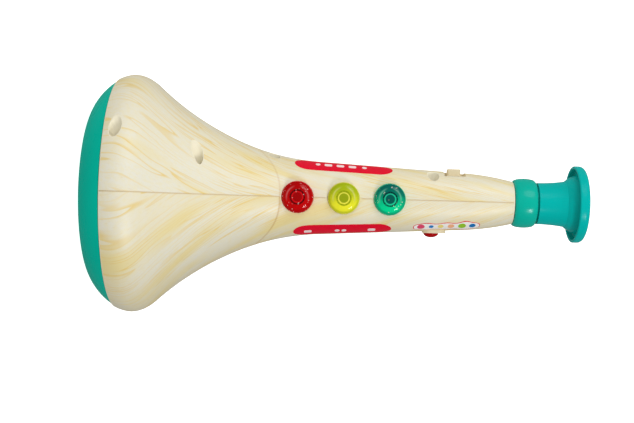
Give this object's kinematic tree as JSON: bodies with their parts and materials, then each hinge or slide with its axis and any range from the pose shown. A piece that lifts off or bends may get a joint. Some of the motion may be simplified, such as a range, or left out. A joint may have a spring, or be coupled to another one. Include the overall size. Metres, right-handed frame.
{
  "type": "toy trumpet",
  "caption": "Battery toy trumpet in a two-part moulded shell, with a flared bell, sprung light-up push buttons, a slide switch, a side button and a flanged mouthpiece.",
  "frame": {"origin": "centre of the bell's resting face", "axes": "+Z along the trumpet's axis from the bell to the mouthpiece; the buttons face -Y; the body parts along x = 0"},
  "size_m": [0.1396, 0.1392, 0.2879],
  "materials": {
    "wood_print_plastic": "cream moulded plastic with a wood-grain print, satin",
    "teal_plastic": "teal-green moulded plastic, glossy",
    "green_teal_plastic": "greener teal moulded plastic, glossy",
    "blue_teal_plastic": "bluer teal moulded plastic, glossy",
    "red_clear_plastic": "translucent red plastic, glossy",
    "yellow_clear_plastic": "translucent yellow-green plastic, glossy",
    "green_clear_plastic": "translucent green plastic, glossy",
    "red_plastic": "opaque red plastic, glossy",
    "tan_plastic": "wood-coloured plastic, satin",
    "white_plastic": "off-white plastic",
    "black_plastic": "black plastic or resin",
    "black_rubber": "conductive rubber ring",
    "board_laminate": "green lacquered laminate",
    "lamp_resin": "clear resin",
    "steel": "plated steel",
    "cell_case": null,
    "magnet_iron": "ferrite ring and steel cup"
  },
  "bodies": {
    "body": {"battery_cell_1": "cell_case", "battery_cell_2": "cell_case", "battery_door": "wood_print_plastic", "battery_tray": "white_plastic", "bell_rim": "teal_plastic", "breath_tube": "blue_teal_plastic", "circuit_board": "board_laminate", "collar": "green_teal_plastic", "contact_bridge": "steel", "contact_minus": "steel", "contact_plus": "steel", "door_screw": "steel", "green_led": "lamp_resin", "green_spring": "steel", "left_shell": "wood_print_plastic", "microphone": "steel", "mouthpiece": "blue_teal_plastic", "red_led": "lamp_resin", "red_spring": "steel", "right_shell": "wood_print_plastic", "shell_screw_1": "steel", "shell_screw_2": "steel", "shell_screw_3": "steel", "shell_screw_4": "steel", "shell_screw_5": "steel", "shell_screw_6": "steel", "shell_screw_7": "steel", "slide_switch": "steel", "sound_chip": "black_plastic", "speaker_cone": "black_plastic", "speaker_frame": "steel", "speaker_grille": "teal_plastic", "speaker_magnet": "magnet_iron", "speaker_screw_1": "steel", "speaker_screw_2": "steel", "speaker_screw_3": "steel", "tact_switch": "black_plastic", "yellow_led": "lamp_resin", "yellow_spring": "steel"},
    "red_key": {"red_button": "red_clear_plastic", "red_contact": "black_rubber"},
    "yellow_key": {"yellow_button": "yellow_clear_plastic", "yellow_contact": "black_rubber"},
    "green_key": {"green_button": "green_clear_plastic", "green_contact": "black_rubber"},
    "side_key": {"side_button": "red_plastic", "tact_plunger": "black_plastic"},
    "slide_key": {"switch_knob": "tan_plastic", "switch_lever": "black_plastic"}
  },
  "joints": [
    {"name": "red_press", "type": "slide", "parent": "body", "child": "red_key", "axis": [0, 1, 0], "range_m": [0, 0.0025], "stiffness_N_per_m": 300, "springref_m": -0.003, "deforming": ["red_spring"]},
    {"name": "yellow_press", "type": "slide", "parent": "body", "child": "yellow_key", "axis": [0, 1, 0], "range_m": [0, 0.0025], "stiffness_N_per_m": 300, "springref_m": -0.003, "deforming": ["yellow_spring"]},
    {"name": "green_press", "type": "slide", "parent": "body", "child": "green_key", "axis": [0, 1, 0], "range_m": [0, 0.0025], "stiffness_N_per_m": 300, "springref_m": -0.003, "deforming": ["green_spring"]},
    {"name": "side_press", "type": "slide", "parent": "body", "child": "side_key", "axis": [-1, 0, 0], "range_m": [0, 0.0008], "stiffness_N_per_m": 800, "springref_m": -0.0012},
    {"name": "power_slide", "type": "slide", "parent": "body", "child": "slide_key", "axis": [0, 0, 1], "range_m": [-0.002, 0.002]}
  ]
}
